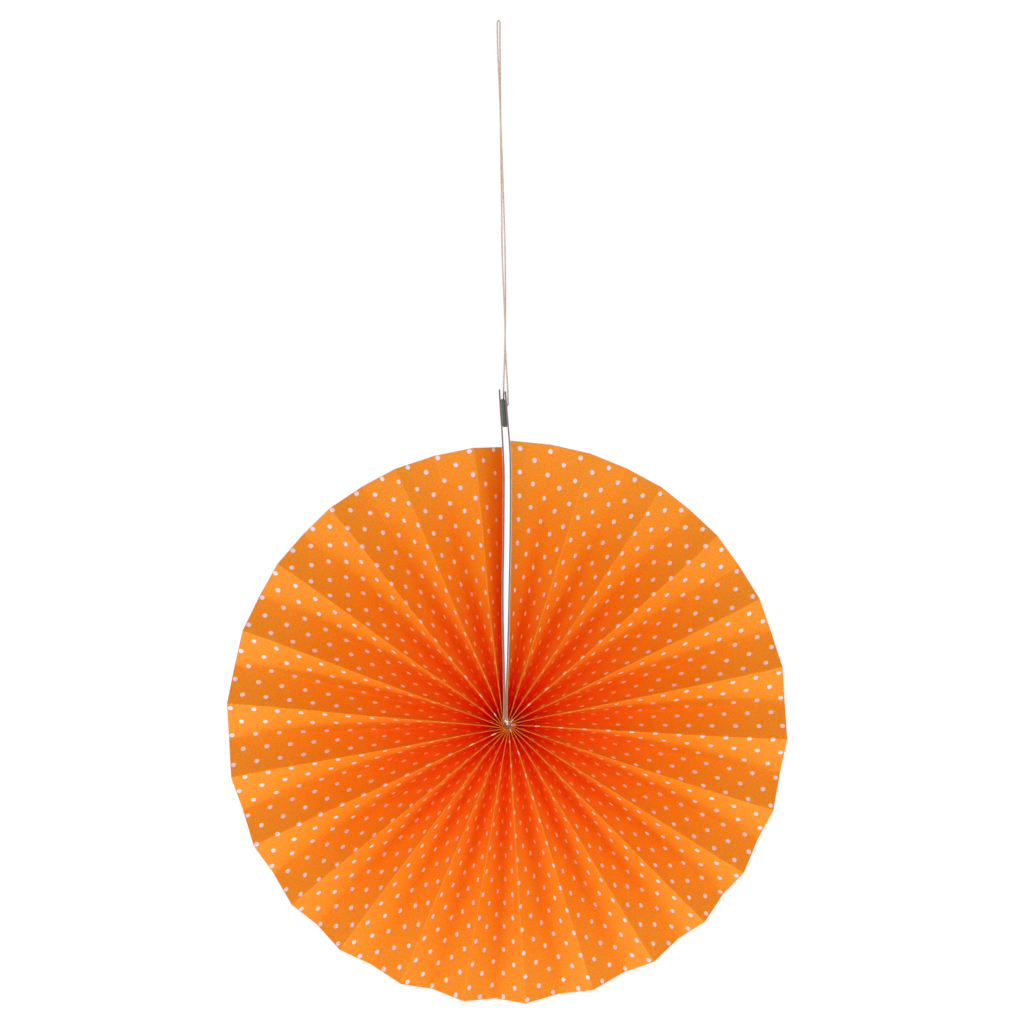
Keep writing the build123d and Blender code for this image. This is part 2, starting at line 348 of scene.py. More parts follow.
# =============================================================================
# shape of the two card strips and of the pleats (mm about the centre of the disc)
# =============================================================================
PLEAT_W = 30.0
PAPER_T = 0.20
R_INNER = 2.8
CROWD = 110.0
CROWD_IN = 12.0
MOUNTAINS = [
    (1.1, 0.0), (17.3, -0.1), (33.2, -0.4), (48.3, -0.9), (63.7, -0.3),
    (78.3, -0.7), (93.1, -0.7), (107.9, 0.1), (122.1, -0.1), (135.0, -1.3),
    (148.3, -1.8), (162.1, -2.2), (176.2, -0.3), (189.0, 0.0), (202.3, 0.2),
    (216.6, 1.1), (230.1, -0.2), (244.4, -0.7), (259.1, 0.0), (274.2, 0.3),
    (289.4, -0.1), (304.8, 1.1), (320.4, 0.9), (336.1, 2.2), (352.8, -0.7),
]
LAST_VALLEY = 358.6
RIM = [
    (0, 201.8), (30, 201.4), (60, 200.7), (90, 199.4), (120, 198.2), (150, 197.9), (180, 198.4),
    (210, 199.2), (240, 199.7), (270, 200.0), (300, 199.7), (330, 198.9), (360, 198.1),
]
CARD_T = 1.1
CARD_DEPTH = 30.0
GLUE = 0.12
CARD_LEFT_LINE = [(4.0, -1.93), (14.0, -1.93), (25.0, -1.95), (45.0, -2.36), (73.0, -3.00), (101.5, -3.05),
                  (129.5, -2.58), (158.0, -2.38), (180.0, -2.32), (195.5, -3.00), (208.5, -3.70),
                  (221.0, -4.65), (238.0, -5.55)]
CARD_RIGHT_LINE = [(4.0, -0.74), (14.0, -0.74), (25.0, -0.68), (45.0, 0.22), (73.0, 0.86), (101.5, 1.50),
                   (129.5, 2.05), (158.0, 2.34), (180.0, 2.26), (196.0, 1.86), (204.5, 1.22),
                   (216.0, 0.30), (226.0, -0.47), (236.6, -1.40)]
HOLE_Z = 226.6
HOLE_D = 3.6


def curve_x(line, z):
    if z <= line[0][0]:
        return line[0][1]
    if z >= line[-1][0]:
        return line[-1][1]
    for i in range(len(line) - 1):
        z0, x0 = line[i]
        z1, x1 = line[i + 1]
        if z0 <= z <= z1:
            def slope(j):
                a = line[max(j - 1, 0)]
                b = line[min(j + 1, len(line) - 1)]
                return (b[1] - a[1]) / (b[0] - a[0])
            h = z1 - z0
            u = (z - z0) / h
            m0, m1 = slope(i) * h, slope(i + 1) * h
            return ((2 * u**3 - 3 * u**2 + 1) * x0 + (u**3 - 2 * u**2 + u) * m0
                    + (-2 * u**3 + 3 * u**2) * x1 + (u**3 - u**2) * m1)


N_FOLDS = 52
folds = [None] * N_FOLDS
for j, fold in enumerate(MOUNTAINS):
    folds[2 * j + 1] = fold
for k in range(2, 49, 2):
    folds[k] = ((folds[k - 1][0] + folds[k + 1][0]) / 2, (folds[k - 1][1] + folds[k + 1][1]) / 2)
folds[50] = (LAST_VALLEY, MOUNTAINS[-1][1])
T0, T1 = MOUNTAINS[0][0], LAST_VALLEY


def rim_radius(k):
    a = T0 if k == 0 else T1 if k == 51 else folds[k][0]
    for (a0, r0), (a1, r1) in zip(RIM, RIM[1:]):
        if a0 <= a <= a1:
            return r0 + (r1 - r0) * (a - a0) / (a1 - a0)


def card_face_right(z):
    return curve_x(CARD_RIGHT_LINE, z) + CARD_T / 2 + GLUE


def card_face_left(z):
    return curve_x(CARD_LEFT_LINE, z) - CARD_T / 2 - GLUE


def beside_card(face, r):
    z = max(r, 4.7)
    for _ in range(6):
        x = face(z)
        z = math.sqrt(max(max(r, 4.7) ** 2 - x * x, 1.0))
    return math.degrees(math.atan2(face(z), z))


def fold_angle(k, r):
    angle, beside = folds[k]
    rim = rim_radius(k)
    lean = beside * (1 - r / rim) * r / (r * r + 18.0 ** 2)
    push_r = beside_card(lambda z: card_face_right(z) + PAPER_T, r) - T0
    push_l = beside_card(lambda z: card_face_left(z) - PAPER_T, r) + 360 - T1
    even = math.exp(-max(r - R_INNER, 0.0) / CROWD_IN)
    along = (angle - T0) / (T1 - T0)
    share_r = even * (1 - along) + (1 - even) * math.exp(-(angle - T0) / CROWD)
    share_l = even * along + (1 - even) * math.exp(-(T1 - angle) / CROWD)
    return angle + math.degrees(lean) + push_r * share_r + push_l * share_l


def half_depth(k, r):
    k = min(max(k, 1), 50)
    lo, hi = max(k - 1, 1), min(k + 1, 50)
    step = math.radians(fold_angle(hi, r) - fold_angle(lo, r)) / (hi - lo) * r
    return 0.5 * math.sqrt(max(PLEAT_W ** 2 - step ** 2, 1.0)), step


def fold_place(k, r):
    h, step = half_depth(k, r)
    y = -h if k % 2 == 1 else h
    y -= (CARD_DEPTH / 2 - half_depth(1, r)[0]) * math.exp(-(k - 1) / 3.5)
    if k == 1:
        y = -CARD_DEPTH / 2
    if k == 50:
        y = CARD_DEPTH / 2
    a = math.radians(fold_angle(k, r))
    return (r * math.sin(a), y, r * math.cos(a)), step


def fold_point(k, r):
    """Where fold k runs, on the middle of the paper; the two free edges lie on the cards."""
    if k == 0:
        z = fold_place(1, r)[0][2]
        return np.array((card_face_right(z) + PAPER_T / 2, CARD_DEPTH / 2, z)), 1.0
    if k == 51:
        z = fold_place(50, r)[0][2]
        return np.array((card_face_left(z) - PAPER_T / 2, -CARD_DEPTH / 2, z)), 1.0
    p, step = fold_place(k, r)
    p = np.array(p)
    if k == 1:
        p[0] = card_face_right(p[2]) + PAPER_T / 2
    if k == 50:
        p[0] = card_face_left(p[2]) - PAPER_T / 2
    return p, step


# =============================================================================
# pleated paper: one sheet, rounded creases, both faces and the cut edges
# =============================================================================
FOLD_R = 0.15                     # radius of a crease, on the middle of the paper
N_ARC = 3                         # steps round half a crease
FLAT = [0.10, 0.30, 0.50, 0.70, 0.90]
R_STEPS = [R_INNER, 3.3, 3.9, 4.7, 5.6, 6.7, 8.0, 9.6, 11.5, 13.8, 16.5, 19.5, 23.0, 27.0, 31.5, 36.5, 42.0,
           48.0, 54.5, 61.5, 69.0, 77.0, 85.0, 93.0, 101.0, 109.0, 117.0, 125.0, 133.0, 141.0, 149.0,
           156.5, 163.5, 170.0, 176.0, 181.5, 186.5, 190.8, 194.2]


def rim_stretch(r, k):
    """The steps end on the rim, which is not the same all round."""
    return r if r < 150.0 else 150.0 + (r - 150.0) * (rim_radius(k) - 150.0) / (198.0 - 150.0)


def panel_section(k, r_step):
    """Middle line of panel k (fold k to fold k+1) at one step out from the centre, with rounded creases."""
    a, step_a = fold_point(k, rim_stretch(r_step, max(k, 1)))
    b, step_b = fold_point(k + 1, rim_stretch(r_step, min(k + 1, 50)))
    # plane of the section: across (sideways) and Y
    across = np.array((b[0] - a[0], 0.0, b[2] - a[2]))
    width = np.linalg.norm(across)
    side = across / width if width > 1e-6 else np.array((1.0, 0.0, 0.0))
    depth = abs(b[1] - a[1])
    sign = 1.0 if b[1] > a[1] else -1.0
    ra = min(FOLD_R, 0.40 * min(step_a, step_b)) if 0 < k else 0.0
    rb = min(FOLD_R, 0.40 * min(step_a, step_b)) if k + 1 < 51 else 0.0
    if k == 0 or k == 50:                 # glued flat on a card
        ra = rb = 0.0
        if k == 0:
            rb = 0.0
    # local plane: x across, y from fold a towards fold b
    ca, cb = np.array((0.0, ra)), np.array((width, depth - rb))
    d = cb - ca
    dist = np.linalg.norm(d)
    gamma = math.atan2(d[0], d[1])
    delta = math.asin(min((ra + rb) / dist, 1.0))
    th = gamma - delta
    pts = []
    na = np.array((math.cos(th), -math.sin(th)))
    for i in range(N_ARC + 1):
        ang = -math.pi / 2 + (math.pi / 2 - th) * i / N_ARC
        pts.append(ca + ra * np.array((math.cos(ang), math.sin(ang))))
    for_b = []
    for i in range(N_ARC + 1):
        ang = math.pi / 2 - (math.pi / 2 - th) * i / N_ARC
        for_b.append(cb + rb * np.array((-math.cos(ang), math.sin(ang))))
    for_b = for_b[::-1]
    if ra == 0.0:                         # keep the columns apart on the flat panels
        pts = [ca + (cb - ca) * 0.02 * i / N_ARC for i in range(N_ARC + 1)]
        for_b = [ca + (cb - ca) * (1 - 0.02 * (N_ARC - i) / N_ARC) for i in range(N_ARC + 1)]
    p0, p1 = pts[-1], for_b[0]
    flat = [p0 + (p1 - p0) * f for f in FLAT]
    local = pts + flat + for_b
    lengths = np.concatenate([[0], np.cumsum([np.linalg.norm(local[i + 1] - local[i]) for i in range(len(local) - 1)])])
    frac = lengths / lengths[-1]
    out = []
    for (lx, ly), f in zip(local, frac):
        # along the ruled line between the folds for Z and X, local depth for Y
        out.append(a * np.array((1, 0, 1)) + side * lx + np.array((0.0, a[1] + sign * ly, 0.0)))
    return out, frac


COLS = 2 * (N_ARC + 1) + len(FLAT)
# how far the print sits from where even folds would put it, in panels, one number a panel, from the photograph's dots
DRIFT = [
    0.092, 0.082, 0.103, 0.116, 0.094, 0.055, 0.074, 0.038, 0.013, 0.030, 0.035, -0.025, -0.034, -0.057,
    -0.083, -0.112, -0.105, -0.071, -0.052, -0.068, -0.049, -0.041, -0.020, -0.051, -0.048, -0.039, -0.039,
    -0.041, -0.013, -0.004, 0.035, -0.012, 0.033, -0.033, -0.018, 0.047, 0.032, 0.005, 0.036, 0.044, 0.065,
    0.044, 0.079, 0.047, 0.069, 0.007, 0.049, -0.013, 0.027, 0.080, 0.085,
]


def build_paper():
    rng = np.random.default_rng(5)
    r_steps = R_STEPS + [198.0]
    n_r = len(r_steps)
    n_c = 51 * (COLS - 1) + 1
    mid = np.zeros((n_r, n_c, 3))
    s_coord = np.zeros((n_r, n_c))
    r_coord = np.zeros((n_r, n_c))
    for i, r in enumerate(r_steps):
        for k in range(51):
            pts, frac = panel_section(k, r)
            c0 = k * (COLS - 1)
            for j in range(COLS):
                mid[i, c0 + j] = pts[j]
                s_coord[i, c0 + j] = k + frac[j]
                ra, rb = rim_stretch(r, max(k, 1)), rim_stretch(r, min(k + 1, 50))
                r_coord[i, c0 + j] = ra + (rb - ra) * frac[j]
    # small unevenness of a hand-folded sheet: panels belly by a few tenths of a millimetre
    bow = rng.normal(0, 0.16, 51)
    for k in range(1, 50):
        c0 = k * (COLS - 1)
        f = s_coord[0, c0:c0 + COLS] - k
        for i in range(n_r):
            out = max(0.0, (r_coord[i, c0] - 40.0) / 160.0)
            mid[i, c0:c0 + COLS, 1] += bow[k] * out * np.sin(math.pi * f) ** 2
    # normals of the middle surface
    du = np.gradient(mid, axis=1)
    dv = np.gradient(mid, axis=0)
    nrm = np.cross(du, dv)
    nrm /= np.linalg.norm(nrm, axis=2)[:, :, None]
    # printed face looks out of the page (-Y) on average
    if np.mean(nrm[:, :, 1]) > 0:
        nrm = -nrm
    half = PAPER_T / 2
    front = mid + nrm * half
    back = mid - nrm * half
    verts = [to_frame(p) for p in front.reshape(-1, 3)] + [to_frame(p) for p in back.reshape(-1, 3)]
    off = n_r * n_c
    faces, slots = [], []

    def vid(i, j, side):
        return side * off + i * n_c + j

    for i in range(n_r - 1):
        for j in range(n_c - 1):
            faces.append((vid(i, j, 0), vid(i, j + 1, 0), vid(i + 1, j + 1, 0), vid(i + 1, j, 0)))
            slots.append(0)
            faces.append((vid(i, j, 1), vid(i + 1, j, 1), vid(i + 1, j + 1, 1), vid(i, j + 1, 1)))
            slots.append(1)
    for j in range(n_c - 1):
        i = n_r - 1
        faces.append((vid(i, j, 0), vid(i, j + 1, 0), vid(i, j + 1, 1), vid(i, j, 1)))
        slots.append(2)
        faces.append((vid(0, j + 1, 0), vid(0, j, 0), vid(0, j, 1), vid(0, j + 1, 1)))
        slots.append(2)
    for i in range(n_r - 1):
        faces.append((vid(i, 0, 0), vid(i + 1, 0, 0), vid(i + 1, 0, 1), vid(i, 0, 1)))
        slots.append(2)
        j = n_c - 1
        faces.append((vid(i + 1, j, 0), vid(i, j, 0), vid(i, j, 1), vid(i + 1, j, 1)))
        slots.append(2)
    # face order so that the outside looks out
    a, b, c = (np.array(verts[q]) for q in faces[(n_r // 2) * (n_c - 1) * 2][:3])
    if np.dot(np.cross(b - a, c - a), nrm[n_r // 2, 0]) < 0:
        faces = [tuple(reversed(f)) for f in faces]
    obj = mesh_object("paper_fan", verts, faces, smooth=True, sharp=50)
    mesh = obj.data
    mesh.polygons.foreach_set("material_index", slots)
    sheet = mesh.uv_layers.new(name="sheet")
    crease = mesh.uv_layers.new(name="crease")
    s_all = np.concatenate([s_coord.reshape(-1)] * 2)
    r_all = np.concatenate([r_coord.reshape(-1)] * 2)
    rims = np.array([rim_radius(min(max(int(round(s)), 1), 50)) for s in s_all])
    # the print sits a little differently on each panel
    drift_at = [0.0] + [k + 0.5 for k in range(1, 50)] + [51.0]
    u_all = PLEAT_W * (s_all - 1.0 - np.interp(s_all, drift_at, DRIFT))
    turn = np.radians(360.0 * s_all / 51.0)
    pull = (0.066 + 0.19 * np.cos(turn) - 0.416 * np.sin(turn) - 0.213 * np.cos(2 * turn)
            + 0.192 * np.sin(2 * turn) - 0.086 * np.cos(3 * turn) - 0.042 * np.sin(3 * turn)) / 100.0
    v_all = r_all * (1.0 - pull) + 0.71 * s_all / 51.0
    idx = np.zeros(len(mesh.loops), dtype=np.int64)
    mesh.loops.foreach_get("vertex_index", idx)
    sheet.data.foreach_set("uv", np.stack([u_all[idx] * MM, v_all[idx] * MM], axis=1).ravel())
    crease.data.foreach_set("uv", np.stack([s_all[idx], (rims - r_all)[idx]], axis=1).ravel())
    mesh.update()
    return obj


paper = build_paper()


def paper_material(name, front=True):
    n = Nodes(name)
    uv = n.uv("sheet")
    u, v, _ = n.split(uv)
    u = n.math("MULTIPLY", u, 1000.0)
    v = n.math("MULTIPLY", v, 1000.0)
    if not front:
        u = n.math("ADD", u, 5.1)
        v = n.math("ADD", v, 3.3)
    # two interleaved grids of dots
    P, Q = 23.076, 16.81
    R = 1.67

    def grid(u0, v0):
        du = n.math("WRAP", n.math("SUBTRACT", u, u0), P / 2, -P / 2)
        dv = n.math("WRAP", n.math("SUBTRACT", v, v0), Q / 2, -Q / 2)
        return n.math("SQRT", n.math("ADD", n.math("MULTIPLY", du, du), n.math("MULTIPLY", dv, dv)))

    # column n sits at 30 * (0.149 + 0.3846 n); even columns carry one set of rows, odd ones the other
    d = n.math("MINIMUM", grid(4.47, -4.78), grid(4.47 + 11.538, 4.595))
    edge_noise = n.noise(uv, 1500.0, 2.0, 0.6)
    d = n.math("ADD", d, n.math("MULTIPLY", n.math("SUBTRACT", edge_noise, 0.5), 0.12))
    dot = n.ramp(d, R - 0.13, R + 0.13, 1.0, 0.0)
    # ink: redder and darker towards the middle, a painted shade of the deep pleats there, matched to the photograph;
    # mottled, and broken up by the fibres
    mottle = n.noise(uv, 90.0, 3.0, 0.6)
    fibre = n.noise(n.scaled(uv, (1.0, 2.0, 1.0)), 620.0, 4.0, 0.65)
    orange = n.mix(n.ramp(v, 5.0, 60.0), ORANGE_IN, ORANGE_MID)
    orange = n.mix(n.ramp(v, 60.0, 120.0), orange, ORANGE_FAR)
    orange = n.mix(n.ramp(v, 120.0, 185.0), orange, ORANGE_OUT)
    # less of the lighter thin-ink mottling towards the middle: part of the painted shade of the deep pleats
    thin = n.ramp(v, 8.0, 45.0, 0.40, 1.0)
    orange = n.mix(n.math("MULTIPLY", thin, n.ramp(mottle, 0.3, 0.7, 0.0, 0.22)), orange, INK_THIN)
    orange = n.mix(n.math("MULTIPLY", thin, n.ramp(fibre, 0.38, 0.66, 0.0, 0.60)), orange, INK_THIN)
    white = n.mix(n.ramp(fibre, 0.3, 0.7), (0.985, 0.985, 0.990), (1.0, 1.0, 1.0))
    # the ink is not evenly dense: small lighter and darker spots, finer than a dot
    cloud = n.noise(uv, 760.0, 3.0, 0.7)
    speck = n.noise(uv, 1000.0, 2.0, 0.6)
    orange = n.mix(1.0, orange, n.join(n.ramp(cloud, 0.36, 0.64, 0.955, 1.0), n.ramp(cloud, 0.36, 0.64, 0.80, 1.12),
                                       n.ramp(speck, 0.32, 0.68, 0.45, 1.55)), "MULTIPLY")
    s, edge, _ = n.split(n.uv("crease"))
    shift = 1.0 if front else 0.0
    near = n.math("ABSOLUTE", n.math("WRAP", n.math("SUBTRACT", s, shift), 1.0, -1.0))
    near = n.math("MULTIPLY", near, PLEAT_W)
    # the dots are yellower towards the middle and away from the outward creases: a painted reflection of the orange
    # light the pleats throw on each other, matched to the photograph; the dots are yellower towards the middle:
    # matched to the photograph, the cause is not known
    painted_bounce_on_dots = n.math("MULTIPLY", n.ramp(v, 45.0, 130.0, 0.85, 0.0), n.ramp(near, 0.3, 1.6, 0.6, 1.0))
    white = n.mix(painted_bounce_on_dots, white, (1.0, 0.93, 0.12))
    col = n.mix(dot, orange, white)
    # lighter ink along the outward creases and the cut rim; on the creases this is partly wear and partly a painted
    # highlight of the lit crease
    wear_and_crest_highlight = n.ramp(n.math("ADD", near, n.math("MULTIPLY", fibre, 0.20)), 0.12, 0.40, 0.55, 0.0)
    worn_and_lit_crest = n.mix(0.65, orange, (1.0, 0.62, 0.026))
    col = n.mix(wear_and_crest_highlight, col, n.mix(dot, worn_and_lit_crest, white))
    rim = n.ramp(n.math("ADD", edge, n.math("MULTIPLY", mottle, 0.25)), 0.15, 0.45, 0.30, 0.0)
    col = n.mix(rim, col, (0.93, 0.62, 0.36))
    height = n.math("ADD", n.math("MULTIPLY", fibre, 0.6), n.math("MULTIPLY", n.noise(uv, 2600.0, 2.0, 0.6), 0.4))
    normal = n.bump(height, 0.18, 0.00006)
    wave = n.noise(n.scaled(uv, (1.0, 0.35, 1.0)), 42.0, 2.0, 0.5)
    normal = n.bump(wave, 0.15, 0.0012, normal)
    rough = n.ramp(fibre, 0.3, 0.8, 0.50, 0.66)
    n.bsdf.inputs["Specular IOR Level"].default_value = 0.15
    # thin paper lets some light through; how much is matched to the shaded panels
    through = n.t.nodes.new("ShaderNodeBsdfTranslucent")
    both = n.t.nodes.new("ShaderNodeMixShader")
    # the dots let less of it through than the ink, which is matched too
    n.link(n.math("SUBTRACT", THROUGH, n.math("MULTIPLY", dot, 0.20)), both.inputs[0])
    # that light crosses the ink of both faces, as reflected light crosses one twice
    n.link(col, through.inputs["Color"])
    n.link(normal, through.inputs["Normal"])
    n.link(n.bsdf.outputs["BSDF"], both.inputs[1])
    n.link(through.outputs[0], both.inputs[2])
    n.link(both.outputs[0], n.out.inputs["Surface"])
    return n.finish(Base_Color=col, Roughness=rough, Normal=normal)


def core_material():
    n = Nodes("paper_cut_edge")
    obj = n.object_coords()
    fibre = n.noise(obj, 4000.0, 3.0, 0.6)
    col = n.mix(n.ramp(fibre, 0.3, 0.7), (0.84, 0.40, 0.16), (0.92, 0.54, 0.28))
    return n.finish(Base_Color=col, Roughness=0.8, Normal=n.bump(fibre, 0.4, 0.00004))


THROUGH = 0.42
# ORANGE_IN to ORANGE_OUT grow darker and redder towards the middle: painted shade of the deep pleats
ORANGE_IN = (0.990, 0.035, 0.0016)
ORANGE_MID = (0.982, 0.226, 0.0060)
ORANGE_FAR = (0.980, 0.348, 0.0060)
ORANGE_OUT = (0.980, 0.412, 0.0190)
INK_THIN = (0.980, 0.400, 0.0205)
paper.data.materials.append(paper_material("printed_paper_front", True))
paper.data.materials.append(paper_material("printed_paper_back", False))
paper.data.materials.append(core_material())


# =============================================================================
# card strips (kept from the frame), pad, knot and thread
# =============================================================================
def card_material(name):
    n = Nodes(name)
    obj = n.object_coords()
    nx, ny, nz = n.split(n.normal())
    face = n.ramp(n.math("ABSOLUTE", nx), 0.80, 0.95)
    layers = n.noise(n.scaled(obj, (1.0, 0.03, 0.03)), 4200.0, 3.0, 0.6)
    fibre = n.noise(obj, 1500.0, 4.0, 0.65)
    speck = n.noise(obj, 420.0, 2.0, 0.5)
    edge = n.mix(n.ramp(layers, 0.3, 0.7), (0.182, 0.096, 0.082), (0.342, 0.194, 0.168))
    edge = n.mix(n.ramp(fibre, 0.35, 0.7, 0.0, 0.6), edge, (0.274, 0.152, 0.130))
    # paler and warmer towards the middle of the disc, darker at the top
    _, _, z = n.split(obj)
    edge = n.mix(n.ramp(z, (HUB[2] + 10.0) * MM, (HUB[2] + 70.0) * MM, 0.90, 0.0), edge, (0.37, 0.165, 0.090))
    edge = n.mix(n.ramp(z, (HUB[2] + 225.0) * MM, (HUB[2] + 233.0) * MM, 0.0, 0.60), edge, (0.125, 0.066, 0.036))
    lined = n.mix(n.ramp(speck, 0.3, 0.7), (0.80, 0.785, 0.76), (0.86, 0.85, 0.83))
    lined = n.mix(n.ramp(fibre, 0.62, 0.80, 0.0, 0.35), lined, (0.62, 0.58, 0.54))
    col = n.mix(face, edge, lined)
    height = n.math("ADD", n.math("MULTIPLY", layers, 0.5), n.math("MULTIPLY", fibre, 0.5))
    n.bsdf.inputs["Specular IOR Level"].default_value = 0.2
    return n.finish(Base_Color=col, Roughness=0.82, Normal=n.bump(height, 0.45, 0.00012))


card_mat = card_material("grey_board")
for node in ("card_strip_left", "card_strip_right"):
    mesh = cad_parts[node].data
    mesh.materials.clear()
    mesh.materials.append(card_mat)


def pad_material():
    n = Nodes("felt_green")
    obj = n.object_coords()
    fibre = n.noise(n.scaled(obj, (1.0, 1.0, 0.5)), 2600.0, 4.0, 0.7)
    patch = n.noise(obj, 220.0, 2.0, 0.5)
    col = n.mix(n.ramp(fibre, 0.3, 0.7), (0.030, 0.062, 0.040), (0.080, 0.150, 0.095))
    col = n.mix(n.ramp(patch, 0.4, 0.7, 0.0, 0.5), col, (0.092, 0.115, 0.078))
    x, y, z = n.split(obj)
    low = n.ramp(n.math("ADD", z, n.math("MULTIPLY", patch, 0.002)), (HUB[2] + 212.0) * MM, (HUB[2] + 218.5) * MM, 0.80, 0.0)
    col = n.mix(low, col, (0.092, 0.078, 0.048))
    # a darker side, and the pale layers of adhesive that hold it to the strips
    across, _, _ = n.split(n.uv("across"))
    ragged = n.math("ADD", across, n.math("MULTIPLY", n.math("SUBTRACT", patch, 0.5), 0.10))
    col = n.mix(n.ramp(ragged, 0.56, 0.72, 0.0, 0.8), col, (0.026, 0.042, 0.027))
    glue = n.math("ADD", n.ramp(ragged, 0.13, 0.19, 1.0, 0.0), n.ramp(ragged, 0.93, 0.97, 0.0, 1.0))
    col = n.mix(glue, col, (0.40, 0.32, 0.22))
    n.bsdf.inputs["Sheen Weight"].default_value = 0.25
    return n.finish(Base_Color=col, Roughness=0.9, Normal=n.bump(fibre, 0.7, 0.00025))


def build_pad():
    """Soft block between the strips: follows both faces, rounded at its ends and edges."""
    z0, z1 = 211.6, 231.3
    y0, y1 = -13.95, -4.05
    nz, ny, nx = 30, 15, 9
    verts, faces = [], []
    rng = np.random.default_rng(3)

    def rounded(t, length, radius):
        """0..1 -> how far the block is drawn in near its ends"""
        d = min(t, 1 - t) * length
        return 1.0 if d >= radius else math.sqrt(max(1 - (1 - d / radius) ** 2, 0.0))

    def surface(a, b, c):
        """a along Z, b along Y, each 0..1; c across is not used"""
        z = z0 + (z1 - z0) * a
        y = y0 + (y1 - y0) * b
        xl = curve_x(CARD_LEFT_LINE, z) + CARD_T / 2
        xr = curve_x(CARD_RIGHT_LINE, z) - CARD_T / 2
        return xl, xr, y, z

    # a box grid whose points are eased towards a rounded box
    def point(a, b, c):
        xl, xr, y, z = surface(a, b, c)
        w = xr - xl
        p = np.array(((c - 0.5) * w, (b - 0.5) * (y1 - y0), (a - 0.5) * (z1 - z0)))
        half = np.array((w / 2, (y1 - y0) / 2, (z1 - z0) / 2))
        rad = 0.85
        core = np.clip(p, -(half - rad), half - rad)
        d = p - core
        ln = np.linalg.norm(d)
        if ln > 1e-9:
            d = d / ln * rad
        q = core + d
        q[0] = np.clip(q[0], -w / 2, w / 2)
        return ((xl + xr) / 2 + q[0], (y0 + y1) / 2 + q[1], (z0 + z1) / 2 + q[2])

    bm = bmesh.new()
    cache, spot = {}, []

    def vert(a, b, c):
        key = (a, b, c)
        if key not in cache:
            cache[key] = bm.verts.new(to_frame(point(a / nz, b / ny, c / nx)))
            spot.append((c / nx, a / nz))
        return cache[key]

    for a in range(nz):
        for b in range(ny):
            bm.faces.new((vert(a, b, 0), vert(a + 1, b, 0), vert(a + 1, b + 1, 0), vert(a, b + 1, 0)))
            bm.faces.new((vert(a, b, nx), vert(a, b + 1, nx), vert(a + 1, b + 1, nx), vert(a + 1, b, nx)))
    for a in range(nz):
        for c in range(nx):
            bm.faces.new((vert(a, 0, c), vert(a, 0, c + 1), vert(a + 1, 0, c + 1), vert(a + 1, 0, c)))
            bm.faces.new((vert(a, ny, c), vert(a + 1, ny, c), vert(a + 1, ny, c + 1), vert(a, ny, c + 1)))
    for b in range(ny):
        for c in range(nx):
            bm.faces.new((vert(0, b, c), vert(0, b + 1, c), vert(0, b + 1, c + 1), vert(0, b, c + 1)))
            bm.faces.new((vert(nz, b, c), vert(nz, b, c + 1), vert(nz, b + 1, c + 1), vert(nz, b + 1, c)))
    bmesh.ops.recalc_face_normals(bm, faces=bm.faces)
    mesh = bpy.data.meshes.new("pad_felt")
    bm.to_mesh(mesh)
    bm.free()
    mesh.polygons.foreach_set("use_smooth", [True] * len(mesh.polygons))
    layer = mesh.uv_layers.new(name="across")
    for loop in mesh.loops:
        layer.data[loop.index].uv = spot[loop.vertex_index]
    obj = bpy.data.objects.new("pad_felt", mesh)
    scene.collection.objects.link(obj)
    obj.data.materials.append(pad_material())
    return obj


pad = build_pad()


def build_knot():
    """Small overhand knot, drawn tight between the strips."""
    t = np.linspace(0, 2 * math.pi, 90, endpoint=False)
    x = 0.52 * np.cos(3 * t)
    y = 1.0 * (np.sin(t) + 0.9 * np.sin(2 * t)) * 0.62
    z = 1.0 * (np.cos(t) - 0.9 * np.cos(2 * t)) * 0.55
    pts = np.stack([x + (-2.65), y, z + HOLE_Z], axis=1)
    pts = np.vstack([pts, pts[:1]])
    obj, _ = twisted("knot_string", pts, 1.0, 3, 3.6, 0.22, 7, 21)
    obj.data.materials.append(cord_mat)
    return obj


knot = build_knot()


def build_thread():
    ring = [(2.45 * math.cos(a), 0.0, 2.45 * math.sin(a)) for a in np.linspace(0.75 * math.pi, 2.75 * math.pi, 120)]
    # the knot that ties the ring off, drawn up small in the middle of the hole
    t = np.linspace(0.0, 2 * math.pi, 520)
    ball = np.stack([2.05 * np.sin(5 * t), -9.5 + 1.3 * np.sin(6 * t + 0.7), 2.05 * np.sin(7 * t + 1.1) - 0.3], axis=1)
    # the end comes forward through the hole, doubled, and lies below the strips
    tail = spline_points([(-1.30, 6.5, 1.10), (-1.10, -4.0, 1.10), (-0.75, -11.0, 0.85), (-0.32, -14.55, 0.95),
                          (-0.05, -15.60, 1.30), (-0.60, -16.05, 2.25), (-1.55, -15.95, 3.50),
                          (-1.25, -15.90, 3.75), (-0.25, -16.00, 2.50), (0.35, -15.60, 1.45), (0.05, -14.50, 0.60),
                          (-0.30, -11.5, 0.30)])
    obj1, _ = twisted("thread_ring", np.array(ring), 0.56, 2, 1.6, 0.14, 7, 31)
    obj2, _ = twisted("thread_tail", tail, 0.54, 2, 1.6, 0.14, 7, 32)
    obj3, _ = twisted("thread_knot", ball, 0.56, 2, 1.6, 0.16, 7, 33)
    obj2.data.materials.append(thread_mat)
    # ring and knot carry the painted shade of the hole and the painted orange reflection of the paper
    for o in (obj1, obj3):
        o.data.materials.append(painted_shade_thread_mat)
    return obj1, obj2, obj3


thread_ring, thread_tail, thread_knot = build_thread()


